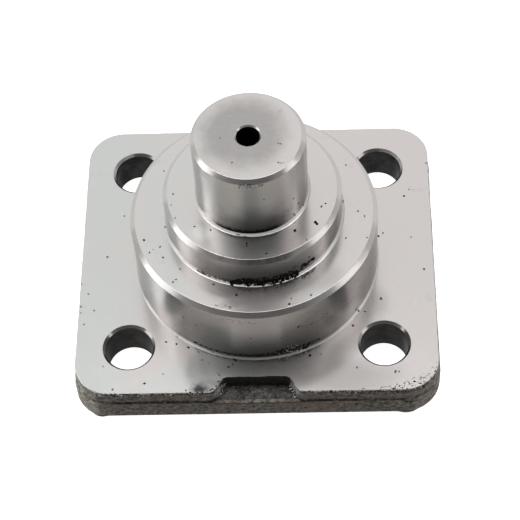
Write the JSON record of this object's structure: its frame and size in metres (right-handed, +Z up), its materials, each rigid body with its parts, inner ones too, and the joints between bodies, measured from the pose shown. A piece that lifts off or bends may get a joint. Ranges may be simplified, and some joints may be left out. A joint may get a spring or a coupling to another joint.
{
  "type": "king pin",
  "caption": "One-piece forged steel king pin: a rectangular bolted flange with a pry slot and rear lug, a stepped turned pin on it and a grease passage through its axis.",
  "frame": {"origin": "on the plane of the flange's underside, under the middle of the outline box; the pin's axis stands 3 mm in front of it, at X 0, Y -0.003", "axes": "+Z up along the pin's axis towards its end face; -Y towards the front edge with the pry slot, +Y towards the rear lug; +X to the right, along the flange's longer side"},
  "size_m": [0.1326, 0.1246, 0.0888],
  "materials": {
    "machined_steel": "forged steel, turned and milled bright on the faces and steps, dark and rough on the flange's forged edges"
  },
  "bodies": {
    "root": {"king_pin": "machined_steel"}
  },
  "joints": []
}
